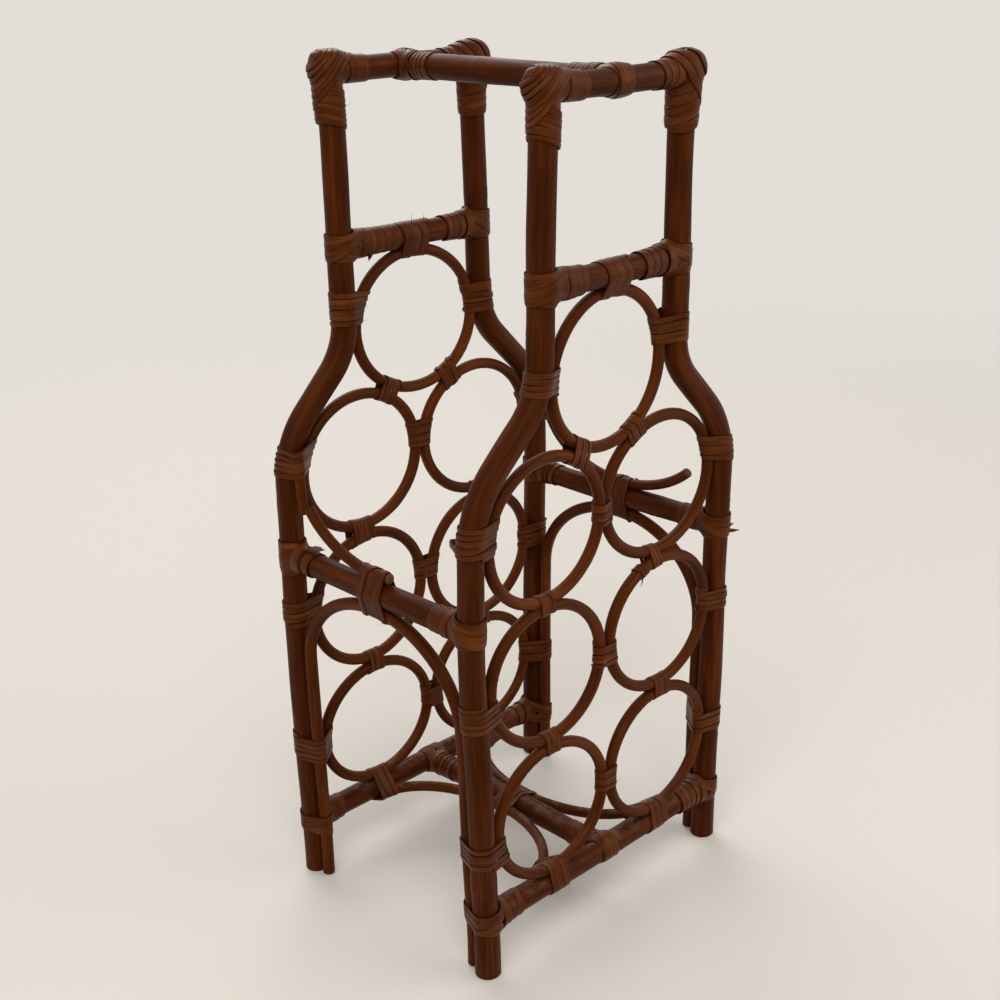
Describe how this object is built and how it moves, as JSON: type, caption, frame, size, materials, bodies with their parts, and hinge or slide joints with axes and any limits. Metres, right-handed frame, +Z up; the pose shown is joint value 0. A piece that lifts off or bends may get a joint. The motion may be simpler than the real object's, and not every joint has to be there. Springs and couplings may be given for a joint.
{
  "type": "rattan wine rack",
  "caption": "Free-standing rattan rack for wine bottles: bottle-shaped end panels of bent pole filled with hoops, joined by a handle, side rails and a base stretcher, lashed with cane.",
  "frame": {"origin": "on the floor, midway between the four legs", "axes": "+Z up, +Y from the front panel to the back panel, +X to the right along the front panel"},
  "size_m": [0.2962, 0.2332, 0.6593],
  "materials": {
    "rattan_pole": "dark stain, semi-gloss",
    "bent_rattan_rod": "dark stain, semi-gloss",
    "cane_lashing": "stained cane strip, gloss"
  },
  "bodies": {
    "root": {"back_bottom_rail": "rattan_pole", "back_handle_lashing": "cane_lashing", "back_left_corner_wrap": "cane_lashing", "back_left_foot_lashing": "cane_lashing", "back_left_neck_lashing": "cane_lashing", "back_left_post": "rattan_pole", "back_lower_left_hoop": "bent_rattan_rod", "back_lower_right_hoop": "bent_rattan_rod", "back_middle_left_hoop": "bent_rattan_rod", "back_middle_right_hoop": "bent_rattan_rod", "back_neck_hoop": "bent_rattan_rod", "back_neck_hoop_tie": "cane_lashing", "back_neck_rail": "rattan_pole", "back_right_corner_wrap": "cane_lashing", "back_right_foot_lashing": "cane_lashing", "back_right_neck_lashing": "cane_lashing", "back_right_post": "rattan_pole", "back_stretcher_lashing": "cane_lashing", "back_top_rail": "rattan_pole", "back_upper_left_hoop": "bent_rattan_rod", "back_upper_right_hoop": "bent_rattan_rod", "base_bow_tie": "cane_lashing", "base_stretcher": "rattan_pole", "carry_handle": "rattan_pole", "front_bottom_rail": "rattan_pole", "front_handle_lashing": "cane_lashing", "front_left_corner_wrap": "cane_lashing", "front_left_foot_lashing": "cane_lashing", "front_left_neck_lashing": "cane_lashing", "front_left_post": "rattan_pole", "front_lower_left_hoop": "bent_rattan_rod", "front_lower_right_hoop": "bent_rattan_rod", "front_middle_left_hoop": "bent_rattan_rod", "front_middle_right_hoop": "bent_rattan_rod", "front_neck_hoop": "bent_rattan_rod", "front_neck_hoop_tie": "cane_lashing", "front_neck_rail": "rattan_pole", "front_right_corner_wrap": "cane_lashing", "front_right_foot_lashing": "cane_lashing", "front_right_neck_lashing": "cane_lashing", "front_right_post": "rattan_pole", "front_stretcher_lashing": "cane_lashing", "front_top_rail": "rattan_pole", "front_upper_left_hoop": "bent_rattan_rod", "front_upper_right_hoop": "bent_rattan_rod", "left_back_side_lashing": "cane_lashing", "left_base_bow": "bent_rattan_rod", "left_front_side_lashing": "cane_lashing", "left_side_arch": "bent_rattan_rod", "left_side_brace": "bent_rattan_rod", "left_side_rail": "rattan_pole", "left_side_tie": "cane_lashing", "right_back_side_lashing": "cane_lashing", "right_base_bow": "bent_rattan_rod", "right_front_side_lashing": "cane_lashing", "right_side_arch": "bent_rattan_rod", "right_side_brace": "bent_rattan_rod", "right_side_rail": "rattan_pole", "right_side_tie": "cane_lashing"}
  },
  "joints": []
}
